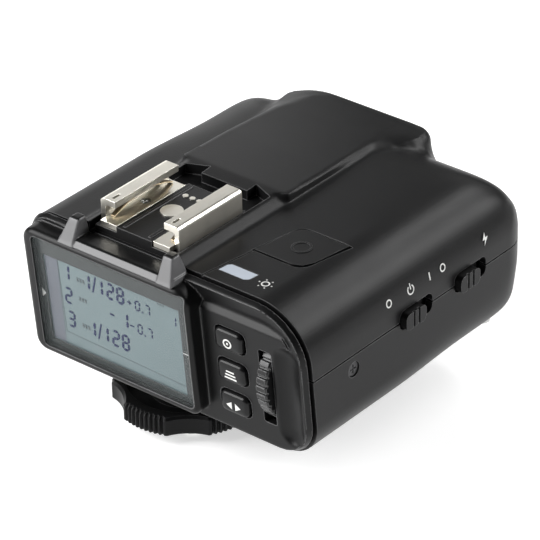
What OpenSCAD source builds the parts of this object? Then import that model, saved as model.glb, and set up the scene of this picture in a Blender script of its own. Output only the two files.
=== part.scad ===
// Wireless flash trigger: a shoe-mounted radio transmitter with a display, three keys,
// a select dial, a flash shoe on top and a locking foot below.
// +X is to the right seen by the user, +Y points away from the user, +Z is up.
// The origin is the centre of the foot's underside. Millimetres.

/* [Body] */
// Left face of the body, from the foot's axis
body_left = -27.3; // [-28:0.1:-27]
// Right face of the body, from the foot's axis
body_right = 46; // [45.5:0.1:47]
// Flat top of the shoulders
body_top = 46.6; // [46.5:0.1:46.8]
// Flat underside
body_bottom = 10.6; // [10.4:0.1:10.8]
// Rear face
body_rear = 60.5; // [60:0.1:61]
// Wall thickness of the shells
wall = 1.8; // [1.6:0.1:2]
// Height of the seam between the upper and lower shells
seam_z = 30.8; // [30.5:0.1:31]
// Width of the open line at each seam
seam_gap = 0.3; // [0.2:0.05:0.4]

/* [Front panel] */
// Y of the display block's top front edge
panel_y = -21.75; // [-22:0.05:-21.5]
// Z of the display block's top front edge
panel_z = 44.6; // [44.5:0.1:44.7]
// Backward lean of the panel's lower edge, degrees
panel_lean = 5.2; // [4.5:0.1:6]
// Depth of the seam behind the display plane
panel_depth = 5.9; // [5.7:0.1:6.2]
// Depth of the key area behind the display plane
key_plane = 3.9; // [3.6:0.1:4.1]
// Travel of a key
key_travel = 0.5; // [0.3:0.1:0.6]
// Radius of the select dial
dial_r = 10.8; // [10.5:0.1:11]

/* [Shoes] */
// Clear width between the walls of the flash shoe
shoe_slot = 18.7; // [18.6:0.05:18.8]
// Gap between the lips of the flash shoe
shoe_mouth = 13.2; // [12.5:0.1:13.4]
// Length of the lips
shoe_length = 19.8; // [18.5:0.1:20]
// Width of the foot across its edges
foot_width = 18.5; // [18.4:0.05:18.6]
// Thickness of the foot's edges
foot_thick = 1.95; // [1.9:0.05:2]
// Outer radius of the lock ring
ring_r = 16.35; // [16:0.05:16.5]
// Rise of the lock ring from locked to free
ring_rise = 3; // [2.5:0.1:3]

/* [Hidden] */
$fn = 64;

// Shared sizes
shoulder_r = 12.5;         // right shoulder
left_top_r = 6;
bottom_left_r = 6.5;
bottom_r = 9;              // along the bottom right and the bottom rear
rear_plan_r = 9;
rear_top_r = 14.7;
seam_y = panel_y + panel_depth;
far = 200;                 // beyond every piece, for cuts
shoe_y = -3.3;             // middle of the flash shoe
deck_z = 46;               // floor of the pocket under the flash shoe
shoe_floor = 48.8;         // surface that a flash's foot slides on
lip_top = 53;
lip_thick = 1.45;
rail_wall = 1.2;
shoe_screw_x = 7.1;
spring_x = 8.1;            // leaf springs under the lips
small_contact_x = [-1.9, 0, 1.9];
small_contact_y = 3.2;
rail_x = shoe_slot / 2 + rail_wall;
rail_front = shoe_y - shoe_length / 2;
rail_back = shoe_y + shoe_length / 2;
pocket_x = 11.5;           // half width of the pocket
pocket_front = -15.6;
pocket_back = 13.3;
notch_x = 6.2;             // inner edge of the notches behind the shoe's corners
notch_back = [16.3, 14.3]; // their depth, inner and outer
spine_x = 14.6;            // half width of the raised spine at its foot
spine_z = 48.6;            // top of the spine
spine_rear_z = 47.7;
spine_base = 30;           // the spine is joined to the shell down to here
spine_over = 0.4;          // how far it stands behind the rear face
spine_corner_r = 5;
flare_x = 18.8;            // half width of the spine's flare at the rear
block_low = [-25.9, -31];  // display block on the panel, x and height
block_high = [19.1, 0];
view_low = [-21.7, -27.7]; // visible part of the display
view_high = [15.5, -6.1];
key_x = 26.6;
key_w = [-10.4, -18.3, -26.2];
key_size = [7.4, 5.0];
key_back = 6.6;            // depth of a key's rear face
switch_depth = key_back + key_travel + 0.1;
scoop_x = 41.2;            // thumb scoop beside the dial
scoop_depth = 1.3;
scoop_w = [-28, -10];
scoop_r = 3.5;
dial_x = 35.5;
dial_w = -18.7;
dial_thick = 2.8;
dial_ribs = 36;
dial_proud = 2.3;          // how far the dial stands out of the key area
dial_depth = key_plane + dial_r - dial_proud;
test_corner = [20.9, -1.9];
test_size = [12.6, 12.5];
test_skew = 8;             // degrees that its sides lean in plan
power_y = 19.1;
lamp_y = 37.6;
slot_len = 11;             // side slots of the sliders
slot_high = 4.6;
slot_gap = 0.4;            // clearance of a knob in its slot
slider_travel = 3.6;
knob_len = slot_len - slider_travel - 2 * slot_gap;
knob_high = slot_high - 2 * slot_gap;
ring_bottom = foot_thick + 0.05;
ring_high = 4.4;
hub_top = ring_bottom + ring_high - 0.4;
base_bottom = hub_top + ring_rise + 0.3;
stem_r = 6.5;
sync_spot = [24, 27];      // y and z of the sync socket's axis
port_y = [34, 42.4];       // opening of the service port
port_z = [25.4, 29.4];
lamp_x = 9;                // half width of the rear lamp window
lamp_z = [33, 42.5];
side_screw = [-1.5, 27.4]; // y and z of the side screws
bay_x = [-18.2, 36.4];     // battery bay, left and right
bay_y = [21, 57.2];
cell_r = 7.1;
cell_len = 49.6;
cell_z = 20.7;
cell_y = [30.2, 45.6];
cell_mid = 9.1;
door_y = 20.3;
door_x = [-19, 37.2];
door_top = 27;
post_r = 2.6;
post_spots = [[-22.2, -6], [39.5, 4], [-22.2, 49], [40, 50]];     // case screws
pin_spots = [[0, 0], [-3.4, 1.6], [3.4, 1.6], [0, 3.9], [0, -3.9]]; // contacts of the foot

// ---- Helpers ----

// Rectangle from [x0, y0] to [x1, y1] with its own radius at each corner,
// in the order low-left, low-right, high-right, high-left
module round_rect(x0, y0, x1, y1, r) {
  polygon([[x0 + r[0], y0], [x1 - r[1], y0], [x1, y0 + r[1]], [x1, y1 - r[2]],
    [x1 - r[2], y1], [x0 + r[3], y1], [x0, y1 - r[3]], [x0, y0 + r[0]]]);
  translate([x0 + r[0], y0 + r[0]]) circle(r[0]);
  translate([x1 - r[1], y0 + r[1]]) circle(r[1]);
  translate([x1 - r[2], y1 - r[2]]) circle(r[2]);
  translate([x0 + r[3], y1 - r[3]]) circle(r[3]);
}

// Box from low corner to high corner
module span(low, high) {
  translate(low) cube(high - low);
}

// Draws its children in the XZ plane, from y0 to y1
module along_y(y0, y1) {
  translate([0, y1, 0]) rotate([90, 0, 0]) linear_extrude(y1 - y0) children();
}

// Draws its children in the YZ plane, from x0 to x1
module along_x(x0, x1) {
  translate([x0, 0, 0]) rotate([90, 0, 90]) linear_extrude(x1 - x0) children();
}

// Places its children in the panel's own frame: X right, Y depth behind the display plane,
// Z up the panel from the display block's top front edge. There, along_y(d0, d1) draws a
// plate parallel to the panel, from depth d0 to d1
module on_panel() {
  translate([0, panel_y, panel_z]) rotate([panel_lean, 0, 0]) children();
}

// Everything deeper than a plane parallel to the panel
module behind(depth) {
  on_panel() span([-far, depth, -far], [far, far, far]);
}

// The body's outer form, drawn inwards by an inset
module body_form(inset) {
  x0 = body_left + inset;
  x1 = body_right - inset;
  z0 = body_bottom + inset;
  z1 = body_top - inset;
  y1 = body_rear - inset;
  intersection() {
    along_y(-60, y1 + 1)
      round_rect(x0, z0, x1, z1, [bottom_left_r, bottom_r, shoulder_r, left_top_r] - inset * [1, 1, 1, 1]);
    linear_extrude(70)
      round_rect(x0, -60, x1, y1, [1, 1, rear_plan_r - inset, rear_plan_r - inset]);
    along_x(x0 - 1, x1 + 1)
      round_rect(-60, z0, y1, z1, [1, bottom_r - inset, rear_top_r - inset, 1]);
  }
}

// The raised spine behind the flash shoe: its top falls a little to the rear, a ramp leads up
// to it from the shoe, and its sides flare out at the rear
module spine_form(inset) {
  rear = body_rear + spine_over - inset;
  high = spine_z - inset;
  ramp = high - 0.5;
  wide = flare_x - inset;
  slim = spine_x - inset;
  r = spine_corner_r;
  intersection() {
    // across: the flare's top edge falls away
    along_y(pocket_back + inset, rear)
      polygon([[-wide, spine_base], [wide, spine_base], [wide, 42.5 - inset], [wide - 0.7, 45 - inset],
        [wide - 2.2, 47.2 - inset], [slim + 0.1, high], [-slim - 0.1, high],
        [2.2 - wide, 47.2 - inset], [0.7 - wide, 45 - inset], [-wide, 42.5 - inset]]);
    // from the side: the ramp, the falling top and the round rear edge
    along_x(-20, 20)
      intersection() {
        round_rect(0, spine_base, rear, high, [1, 1, 3.2, 1]);
        polygon([[0, spine_base], [70, spine_base], [70, spine_rear_z - inset],
          [46, spine_rear_z - inset], [17, high], [pocket_back, ramp], [0, ramp]]);
      }
    // from above: straight sides that flare out at the rear
    linear_extrude(60) for (side = [0, 1]) mirror([side, 0]) union() {
      polygon([[0, 0], [slim, 0], [slim, 20], [slim - 0.4, 46], [slim + 0.8, 50], [slim + 2.8, 52.2],
        [wide, 54], [wide, rear - r], [wide - r, rear], [0, rear]]);
      translate([wide - r, rear - r]) circle(r);
    }
  }
}

// The two sloping bands beside the flash shoe
module spine_bands() {
  band = [[pocket_x, 44.8], [spine_x, 44.8], [spine_x, body_top], [pocket_x + 0.2, spine_z],
    [pocket_x, spine_z]];
  for (side = [0, 1])
    mirror([side, 0, 0])
      along_y(pocket_front - 0.2, pocket_back + 3) polygon(band);
}

// Plan of the pocket's notches behind the shoe's corners
module pocket_notches() {
  for (side = [0, 1])
    mirror([side, 0])
      polygon([[notch_x, pocket_back - 1], [pocket_x, pocket_back - 1], [pocket_x, notch_back[1]],
        [notch_x, notch_back[0]]]);
}

// Plan of the test button, drawn outwards by a margin
module test_plan(margin) {
  lean = tan(test_skew);
  x0 = test_corner[0] - margin;
  y0 = test_corner[1] - margin;
  w = test_size[0] + 2 * margin;
  d = test_size[1] + 2 * margin;
  polygon([[x0, y0], [x0 + w - 3, y0], [x0 + w - 0.9, y0 + 0.9], [x0 + w + 0.3, y0 + 3],
    [x0 + w + lean * d, y0 + d], [x0 + 2.4 + lean * d, y0 + d],
    [x0 + 0.8 + lean * d, y0 + d - 0.7], [x0 + lean * d - 0.1, y0 + d - 2.4]]);
}

// Plan of the status window
module status_plan(margin) {
  polygon([[20 - margin, -12.3 - margin], [26.6, -12.3 - margin], [27.5 + margin, -11.6],
    [27.8 + margin, -9.1 + margin], [21, -9.1 + margin], [20.3 - margin, -9.8]]);
}

// Rounded slot on the right face, around the middle y, drawn outwards by a margin
module side_slot(mid_y, margin, x0, x1) {
  half = slot_len / 2 + margin;
  high = slot_high / 2 + margin;
  along_x(x0, x1)
    round_rect(mid_y - half, seam_z + 0.2 - high, mid_y + half, seam_z + 0.2 + high,
      [1.6, 1.6, 1.6, 1.6]);
}

// Everything that is cut through both shells
module shell_openings() {
  side_slot(power_y, 0, 40, far);
  side_slot(lamp_y, 0, 40, far);
  // sync socket and service port on the left face
  translate([-far, sync_spot[0], sync_spot[1]]) rotate([0, 90, 0]) cylinder(h = far, r = 3.1);
  span([-far, port_y[0], port_z[0]], [-20, port_y[1], port_z[1]]);
  // focus lamp window in the rear face
  along_y(50, far) round_rect(-lamp_x, lamp_z[0], lamp_x, lamp_z[1], [1.5, 1.5, 1.5, 1.5]);
}

// Holes under the flash shoe for its contacts and screws
module shoe_holes() {
  translate([0, shoe_y, 40]) cylinder(h = 20, r = 2.55);
  for (x = small_contact_x)
    translate([x, small_contact_y, 40]) cylinder(h = 20, r = 0.75);
  for (side = [-1, 1])
    translate([side * shoe_screw_x, shoe_y, 40]) cylinder(h = 20, r = 1.05);
}

// ---- Casing ----

module upper_shell() {
  color("#2b2b2d") difference() {
    union() {
      difference() {
        union() {
          intersection() {
            body_form(0);
            behind(panel_depth);
          }
          spine_form(0);
          intersection() {
            spine_bands();
            behind(panel_depth);
          }
        }
        difference() {
          union() {
            body_form(wall);
            spine_form(wall);
          }
          // deck below the flash shoe
          span([-pocket_x - 1.6, -30, deck_z - 1.8], [pocket_x + 1.6, pocket_back + 4.4, 60]);
        }
      }
      // bosses for the case screws
      intersection() {
        for (spot = post_spots)
          translate([spot[0], spot[1], seam_z + 1.2]) cylinder(h = 16, r = post_r);
        body_form(0.5);
      }
    }
    span([-far, -far, -far], [far, far, seam_z + seam_gap / 2]);
    // pocket for the flash shoe
    span([-pocket_x, pocket_front - 5, deck_z], [pocket_x, pocket_back, far]);
    translate([0, 0, deck_z]) linear_extrude(20) pocket_notches();
    translate([0, 0, 30]) linear_extrude(30) test_plan(0.25);
    translate([0, 0, 30]) linear_extrude(30) status_plan(0.05);
    // line that runs from the front seam to the test button
    translate([0, 0, body_top - 0.5]) linear_extrude(2)
      polygon([[18.5, -17], [18.9, -17], [21.2, -1.7], [20.8, -1.7]]);
    shell_openings();
    for (spot = post_spots)
      translate([spot[0], spot[1], 20]) cylinder(h = 20, r = 0.85);
    shoe_holes();
  }
}

module door_cut(margin) {
  span([door_x[0] - margin, door_y - margin, 0], [door_x[1] + margin, far, door_top + margin]);
}

module lower_shell() {
  color("#262628") difference() {
    union() {
      difference() {
        intersection() {
          body_form(0);
          behind(panel_depth);
        }
        body_form(wall);
      }
      // round base above the lock ring
      translate([0, 0, base_bottom]) cylinder(h = body_bottom + 0.9 - base_bottom, r = 12.6);
      // tongue that the upper shell closes over
      intersection() {
        difference() {
          body_form(wall + 0.1);
          body_form(wall + 1.1);
        }
        span([-far, -10, seam_z - 2], [far, far, seam_z + 1]);
      }
      for (spot = post_spots)
        translate([spot[0], spot[1], body_bottom + 0.9])
          cylinder(h = seam_z - body_bottom + 0.2, r = post_r);
    }
    difference() {
      span([-far, -far, seam_z - seam_gap / 2], [far, far, far]);
      body_form(wall + 0.1);
    }
    // room for the sliders behind the wall
    span([42.3, power_y - 8, 22], [body_right - wall + 0.02, lamp_y + 9.5, 40]);
    span([-far, -far, seam_z + 1.1], [far, far, far]);
    door_cut(0.15);
    shell_openings();
    cylinder(h = 30, r = stem_r + 0.15);
    for (spot = post_spots) {
      translate([spot[0], spot[1], 0]) cylinder(h = 40, r = 1.25);
      translate([spot[0], spot[1], 0]) cylinder(h = body_bottom + 2.9, r = 2.1);
    }
    // side screws
    for (side = [0, 1])
      translate([side ? body_left : body_right, side_screw[0], side_screw[1]]) rotate([0, 90, 0]) {
        cylinder(h = 12, r = 1.05, center = true);
        cylinder(h = 1.8, r = 1.75, center = true);
      }
  }
}

// Section outline of the body on a plane parallel to the panel
module panel_slab(inset, d0, d1) {
  intersection() {
    body_form(inset);
    on_panel() span([-far, d0, -far], [far, d1, far]);
  }
}

module key_hole(index, margin) {
  w = key_size[0] / 2 + margin;
  h = key_size[1] / 2 + margin;
  translate([key_x, key_w[index]])
    round_rect(-w, -h, w, h, [1.4, 1.4, 1.4, 1.4]);
}

module front_panel() {
  color("#2a2a2c") difference() {
    union() {
      // rim with its sloping edge
      hull() {
        panel_slab(1.7, 4.7, 4.8);
        panel_slab(0, panel_depth - seam_gap - 0.1, panel_depth - seam_gap);
      }
      // raised key area with a slope along its top
      intersection() {
        body_form(1.2);
        on_panel() intersection() {
          along_x(15, 46)
            polygon([[key_plane, -40], [key_plane, -5.1], [5.4, -3.6], [5.5, -3.6], [5.5, -40]]);
          along_y(0, 10)
            polygon([[15, -40], [46, -40], [45.2, -16], [41.5, -6.4], [37.6, 0], [15, 0]]);
        }
      }
      // display block
      on_panel() hull() {
        along_y(0, 0.1)
          round_rect(block_low[0] + 0.7, block_low[1] + 0.7, block_high[0] - 0.7, block_high[1] - 0.5,
            [2.5, 1.5, 2.5, 2.5]);
        along_y(0.8, panel_depth - seam_gap)
          round_rect(block_low[0], block_low[1], block_high[0], block_high[1], [3, 2, 3, 3]);
      }
      // lip that sits inside the shells
      difference() {
        panel_slab(wall + 0.15, panel_depth - 1, panel_depth + 1.8);
        panel_slab(wall + 1.2, 0, 20);
      }
    }
    on_panel() {
      // seat of the window, then the space for the display behind it
      along_y(-1, 1.6) window_plate(0.1);
      along_y(1, 20) round_rect(-22.45, -28.6, 17.25, -2, [1, 1, 1, 1]);
      for (i = [0 : 2])
        along_y(-1, 20) key_hole(i, 0.35);
      // slot of the select dial
      along_y(2, 20)
        round_rect(dial_x - 1.65, dial_w - 9, dial_x + 1.65, dial_w + 9, [0.5, 0.5, 0.5, 0.5]);
      // scoop for the thumb beside the dial
      translate([scoop_x, scoop_depth, scoop_w[0]]) cylinder(h = scoop_w[1] - scoop_w[0], r = scoop_r);
      for (w = scoop_w)
        translate([scoop_x, scoop_depth, w]) sphere(r = scoop_r);
    }
    // seat of the shoe guard, and room for the deck behind it
    span([-15.45, -40, panel_z + 0.02], [15.45, 0, far]);
    span([-15.6, seam_y - 0.3, 43.9], [15.6, 0, far]);
  }
}

module shoe_guard() {
  back = seam_y - 0.25;
  front = panel_y + 0.05;
  low = panel_z + 0.05;
  color("#58595b") {
    along_x(-15.4, 15.4)
      polygon([[front, low], [front + 1.25, deck_z], [back, deck_z], [back, low]]);
    for (side = [0, 1])
      mirror([side, 0, 0])
        intersection() {
          along_y(front, back) difference() {
            polygon([[9, low], [15.4, low], [13.9, 50.1], [11, 50.1], [9, deck_z]]);
            translate([9, deck_z + 2.4]) circle(2.4);
            translate([8, deck_z + 2.4]) square([3.2, 4]);
          }
          along_x(8, 16)
            polygon([[front, low], [front + 2.6, 50.1], [back - 0.8, 50.1], [back, 46.7],
              [back, low]]);
        }
  }
}

// ---- Display ----

// Outline of the display window, drawn outwards by a margin
module window_plate(margin) {
  r = 1.1 + margin;
  round_rect(-23.1 - margin, -29.1 - margin, 18.1 + margin, -1.4 + margin, [r, r, r, r]);
}

module display_window() {
  color([0.8, 0.85, 0.86, 0.3]) on_panel() along_y(0.3, 1.3) window_plate(0);
}

module window_border() {
  color("#4a5052") on_panel() along_y(1.34, 1.54) difference() {
    window_plate(0);
    round_rect(view_low[0], view_low[1], view_high[0], view_high[1], [0.3, 0.3, 0.3, 0.3]);
  }
}

// Outline of the display, drawn outwards from its visible part by a margin
module display_plate(margin) {
  round_rect(view_low[0] - margin, view_low[1] - margin, view_high[0] + margin, view_high[1] + margin,
    [0.2, 0.2, 0.2, 0.2]);
}

module display_glass() {
  color("#a9bcbd") on_panel() along_y(1.75, 3.2) display_plate(0.2);
}

module display_frame() {
  color("#e6e6e0") on_panel() along_y(1.66, 5.6) difference() {
    round_rect(-22.35, -28.5, 17.15, -2.1, [0.8, 0.8, 0.8, 0.8]);
    display_plate(0.3);
  }
}

module display_backlight() {
  color("#f4f4ee") on_panel() along_y(3.3, 5.5) display_plate(0.2);
}

// ---- Flash shoe ----

module shoe_rails() {
  x_in = shoe_slot / 2;
  lip_x = shoe_mouth / 2;
  color("#c9c6bd") difference() {
    union() {
      for (side = [0, 1])
        mirror([side, 0, 0]) {
          // wall and inturned lip, bent from one sheet
          along_y(rail_front, rail_back) {
            polygon([[4.9, 47.6], [rail_x, 47.6], [rail_x, lip_top - 0.9],
              [rail_x - 0.9, lip_top], [lip_x, lip_top], [lip_x, lip_top - lip_thick],
              [x_in, lip_top - lip_thick], [x_in, shoe_floor], [4.9, shoe_floor]]);
            translate([rail_x - 0.9, lip_top - 0.9]) circle(0.9);
          }
          // front tab of the floor
          span([4.9, rail_front - 1.6, 47.6], [9.3, rail_front + 0.1, shoe_floor]);
        }
    }
    for (side = [-1, 1]) {
      // slots that the springs hook into
      span([side * spring_x - 0.35, rail_front + 1, 51],
        [side * spring_x + 0.35, rail_front + 3.2, 54]);
      translate([side * shoe_screw_x, shoe_y, 40]) cylinder(h = 10, r = 1.2);
    }
  }
}

module shoe_base() {
  color("#303032") difference() {
    union() {
      span([-rail_x, rail_front - 1.9, deck_z + 0.04], [rail_x, rail_back + 1, 47.55]);
      span([-4.8, rail_front - 1.9, 47.5], [4.8, rail_back + 1, shoe_floor]);
      // two low tracks that guide a flash's pins
      for (side = [-1, 1])
        span([side * 3.4 - 0.35, rail_front - 1, shoe_floor - 0.1],
          [side * 3.4 + 0.35, rail_back + 0.4, shoe_floor + 0.15]);
    }
    shoe_holes();
  }
}

module shoe_springs() {
  bow_r = 22;
  bow_rise = 2.2;
  sheet = 0.25;
  wide = 1.1;
  low = shoe_floor + 0.12;
  color("#b59c74") for (side = [-1, 1])
    intersection() {
      translate([side * spring_x - wide / 2, shoe_y, low + bow_rise - bow_r]) rotate([0, 90, 0])
        difference() {
          cylinder(h = wide, r = bow_r);
          translate([0, 0, -1]) cylinder(h = 4, r = bow_r - sheet);
        }
      span([-12, rail_front + 0.8, low], [12, rail_back - 0.8, lip_top - lip_thick - 0.1]);
    }
}

module shoe_contacts() {
  color("#cfccc0") {
    translate([0, shoe_y, 44.3]) cylinder(h = shoe_floor + 0.2 - 44.3, r = 2.45);
    for (x = small_contact_x)
      translate([x, small_contact_y, 44.3]) cylinder(h = shoe_floor + 0.15 - 44.3, r = 0.65);
  }
}

module shoe_screws() {
  color("#b8b6b0") for (side = [-1, 1])
    translate([side * shoe_screw_x, shoe_y, 0]) {
      translate([0, 0, 43]) cylinder(h = 4.4, r = 0.95);
      difference() {
        union() {
          translate([0, 0, 47.35]) cylinder(h = 0.25, r = 0.95);
          translate([0, 0, 47.58]) cylinder(h = 0.97, r = 1.1);
        }
        span([-0.2, -0.8, 48], [0.2, 0.8, 50]);
        span([-0.8, -0.2, 48], [0.8, 0.2, 50]);
      }
    }
}

// ---- Top controls ----

module status_window() {
  color([0.75, 0.8, 0.84, 0.8]) {
    translate([0, 0, 44.9]) linear_extrude(body_top - 44.95) status_plan(-0.05);
    translate([22, -12, 41.6]) cube([4, 2.6, 3.4]);
  }
}

module status_led() {
  color("#f0ead8") translate([22.4, -11.45, 38.45]) cube([3.2, 2, 3]);
}

module test_button() {
  color("#2c2c2e") {
    translate([0, 0, 43.6]) linear_extrude(body_top + 0.1 - 43.6) test_plan(0);
    translate([0, 0, 42.9]) linear_extrude(1) test_plan(0.9);
    translate([28, 4.4, 42.5]) cylinder(h = 1, r = 1.6);
  }
}

module test_switch() {
  color("#8a8a86") {
    translate([25, 1.4, 38.5]) cube([6, 6, 2.6]);
    translate([28, 4.4, 41]) cylinder(h = 0.8, r = 1.5);
  }
}

// ---- Keys and dial ----

module key(index) {
  color("#1d1d1f") on_panel() {
    hull() {
      along_y(key_plane + 0.4, 5.9) key_hole(index, 0);
      along_y(key_plane - 0.4, key_plane) key_hole(index, -0.25);
      along_y(key_plane - 1, key_plane - 0.9) key_hole(index, -0.85);
    }
    along_y(5.9, key_back) key_hole(index, 0.7);
  }
}

module key_top() key(0);

module key_middle() key(1);

module key_bottom() key(2);

module key_switches() {
  color("#77787a") on_panel() for (w = key_w) {
    span([key_x - 2.4, switch_depth + 0.5, w - 2.4], [key_x + 2.4, switch_depth + 2, w + 2.4]);
    translate([key_x, switch_depth + 0.5, w]) rotate([90, 0, 0]) cylinder(h = 0.5, r = 1.3);
  }
}

module key_board() {
  color("#1f5a3c") on_panel()
    span([20.6, switch_depth + 2.05, -31], [33.2, switch_depth + 3.25, -8.9]);
}

module select_dial() {
  color("#1b1b1d") on_panel() translate([dial_x, dial_depth, dial_w]) rotate([0, 90, 0])
    difference() {
      translate([0, 0, -dial_thick / 2]) cylinder(h = dial_thick, r = dial_r);
      for (i = [0 : dial_ribs - 1])
        rotate(i * 360 / dial_ribs) translate([dial_r + 0.2, 0, -5]) cylinder(h = 10, r = 0.5, $fn = 24);
      translate([0, 0, -5]) cylinder(h = 10, r = 1.56);
    }
}

module dial_axle() {
  color("#b9b9b9") on_panel() translate([33.75, dial_depth, dial_w]) rotate([0, 90, 0])
    cylinder(h = 4.2, r = 1.5);
}

module dial_encoder() {
  color("#3c5d86") on_panel() {
    span([38, dial_depth - 4, dial_w - 4], [41.5, dial_depth + 4, dial_w + 4]);
    // bearing block on the inner side of the dial
    span([31.4, dial_depth - 1.2, dial_w - 2.6], [33.7, dial_depth + 3, dial_w + 2.6]);
  }
}

// ---- Side switches ----

module slider(mid_y) {
  knob = mid_y - slot_len / 2 + slot_gap;
  z = seam_z + 0.2;
  half = knob_high / 2;
  color("#202022") {
    difference() {
      along_x(44, body_right + 1.5)
        round_rect(knob, z - half, knob + knob_len, z + half, [1.2, 1.2, 1.2, 1.2]);
      // grip grooves
      for (y = [2.2, 3.9])
        span([body_right + 1.1, knob + y, z - 3], [body_right + 3, knob + y + 0.7, z + 3]);
    }
    // flat behind the wall that covers the slot
    span([42.7, knob - 0.6, z - 2.9], [44.05, knob + 9.8, z + 2.9]);
  }
}

module power_slider() slider(power_y);

module lamp_slider() slider(lamp_y);

module slide_switch(mid_y) {
  color("#9a9a98") span([37, mid_y - 5.4, 28.6], [42.5, mid_y + 5.4, 33.4]);
}

module power_switch() slide_switch(power_y);

module lamp_switch() slide_switch(lamp_y);

// ---- Electronics ----

module main_board() {
  color("#1f6a45") difference() {
    span([-24.6, 4, 32.2], [36.4, 52.8, 33.6]);
    for (spot = post_spots)
      translate([spot[0], spot[1], 20]) cylinder(h = 30, r = post_r + 0.4);
  }
}

module microchips() {
  color("#1a1a1c") {
    span([-12, 12, 33.65], [-2, 22, 35.2]);
    span([6, 30, 33.65], [14, 36, 35]);
    span([20, 26, 33.65], [24, 32, 34.8]);
    span([-16, 34, 33.65], [-10, 38, 34.8]);
  }
}

module radio_module() {
  color("#27507a") span([17, -11.5, 37.1], [33.4, 18, 38.4]);
}

module antenna() {
  color("#c8a24a") {
    span([-9, 46, 33.7], [9, 47, 42]);
    translate([-9, 46.5, 43]) rotate([0, 90, 0]) cylinder(h = 18, r = 1);
  }
}

// ---- Power ----

module battery_tray() {
  color("#242426") difference() {
    span([bay_x[0], bay_y[0], 13], [bay_x[1], bay_y[1] - 3, 29.6]);
    span([bay_x[0] + 1.2, bay_y[0] + 1.2, 0], [bay_x[1] - 1.2, far, 28.3]);
    // the corner of the tray follows the door
    span([-far, 52, 0], [far, far, 18]);
  }
}

module battery_cells() {
  for (y = cell_y) {
    color("#3a3f46") translate([cell_mid - cell_len / 2, y, cell_z]) rotate([0, 90, 0])
      cylinder(h = cell_len - 1.2, r = cell_r);
    color("#c8c8c8") translate([cell_mid + cell_len / 2 - 1.2, y, cell_z]) rotate([0, 90, 0])
      cylinder(h = 1.1, r = 2.6);
  }
}

module battery_springs() {
  color("#c9c9c9") for (y = cell_y)
    for (turn = [0 : 1])
      translate([bay_x[0] + 1.5 + turn * 0.5, y, cell_z]) rotate([0, 90, 0])
        rotate_extrude() translate([3.4 - turn * 0.9, 0]) circle(0.24);
}

module battery_plates() {
  color("#c9c9c9") for (y = cell_y)
    span([bay_x[1] - 2.4, y - 4, cell_z - 4], [bay_x[1] - 1.25, y + 4, cell_z + 4]);
}

module battery_door() {
  color("#29292b") {
    intersection() {
      difference() {
        body_form(0);
        body_form(wall);
      }
      difference() {
        span([door_x[0] + 0.15, door_y + 0.15, 0], [door_x[1] - 0.15, far, door_top - 0.15]);
        // grip lines
        for (i = [0 : 4])
          span([2, 24 + i * 2, 0], [16, 24.8 + i * 2, body_bottom + 0.4]);
      }
    }
  }
}

// ---- Foot ----

module foot_plate() {
  half = foot_width / 2;
  color("#b4b4b2") difference() {
    union() {
      intersection() {
        span([-half, -9, 0], [half, 9, foot_thick]);
        rotate(45) span([-11.7, -11.7, -1], [11.7, 11.7, 5]);
      }
      translate([0, 0, foot_thick - 0.1]) cylinder(h = 14.6 - foot_thick, r = stem_r);
    }
    translate([0, 0, -1]) cylinder(h = 20, r = 5.3);
  }
}

module foot_nut() {
  color("#c0b070") difference() {
    translate([0, 0, 12.5]) cylinder(h = 2, r = 10.5);
    translate([0, 0, 10]) cylinder(h = 6, r = stem_r + 0.05);
  }
}

module contact_block() {
  color("#1c1c1e") difference() {
    translate([0, 0, 0.05]) cylinder(h = 14.3, r = 5.25);
    for (spot = pin_spots)
      translate([spot[0], spot[1], -1]) cylinder(h = 13, r = 0.86);
  }
}

module contact_pins() {
  color("#c9a44c") for (spot = pin_spots)
    translate([spot[0], spot[1], -0.3]) cylinder(h = 5.3, r = 0.8);
}

module contact_springs() {
  color("#b8b8b8") for (spot = pin_spots)
    translate([spot[0], spot[1], 5.1]) difference() {
      cylinder(h = 6.8, r = 0.7);
      translate([0, 0, -1]) cylinder(h = 9, r = 0.4);
    }
}

module friction_plate() {
  color("#3a3a3c") difference() {
    translate([0, 0, ring_bottom]) cylinder(h = 0.85, r = 12.9);
    cylinder(h = 10, r = stem_r + 0.06);
  }
}

module lock_ring() {
  lobes = 5;
  span_angle = 360 / lobes;
  first = 309.5;              // angle of the first scallop
  scallop_r = 11.4;
  scallop_depth = 1.55;
  tooth_angle = 4.1;
  color("#1e1e20") difference() {
    translate([0, 0, ring_bottom]) cylinder(h = ring_high, r = ring_r);
    // seat of the friction plate below, and the open top
    cylinder(h = ring_bottom + 1, r = 13.3);
    difference() {
      translate([0, 0, ring_bottom + 2.4]) cylinder(h = 5, r = 13.4);
      cylinder(h = hub_top, r = 8.6);
    }
    cylinder(h = 20, r = stem_r + 0.06);
    for (i = [0 : lobes - 1]) {
      rotate(first + i * span_angle) translate([ring_r - scallop_depth + scallop_r, 0, 0])
        cylinder(h = 20, r = scallop_r);
      for (k = [-4 : 4])
        rotate(first + (i + 0.5) * span_angle + k * tooth_angle)
          translate([ring_r + 0.28, 0, 0]) cylinder(h = 20, r = 0.6, $fn = 24);
    }
  }
}

// ---- Sockets and rear lamp ----

module sync_socket() {
  color("#151517") translate([body_left + 0.1, sync_spot[0], sync_spot[1]]) rotate([0, 90, 0]) difference() {
    union() {
      cylinder(h = 8.8, r = 2.9);
      translate([-3.2, -3.2, 3.2]) cube([6.4, 6.4, 5.6]);
    }
    translate([0, 0, -1]) cylinder(h = 8.6, r = 1.27);
  }
}

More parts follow.
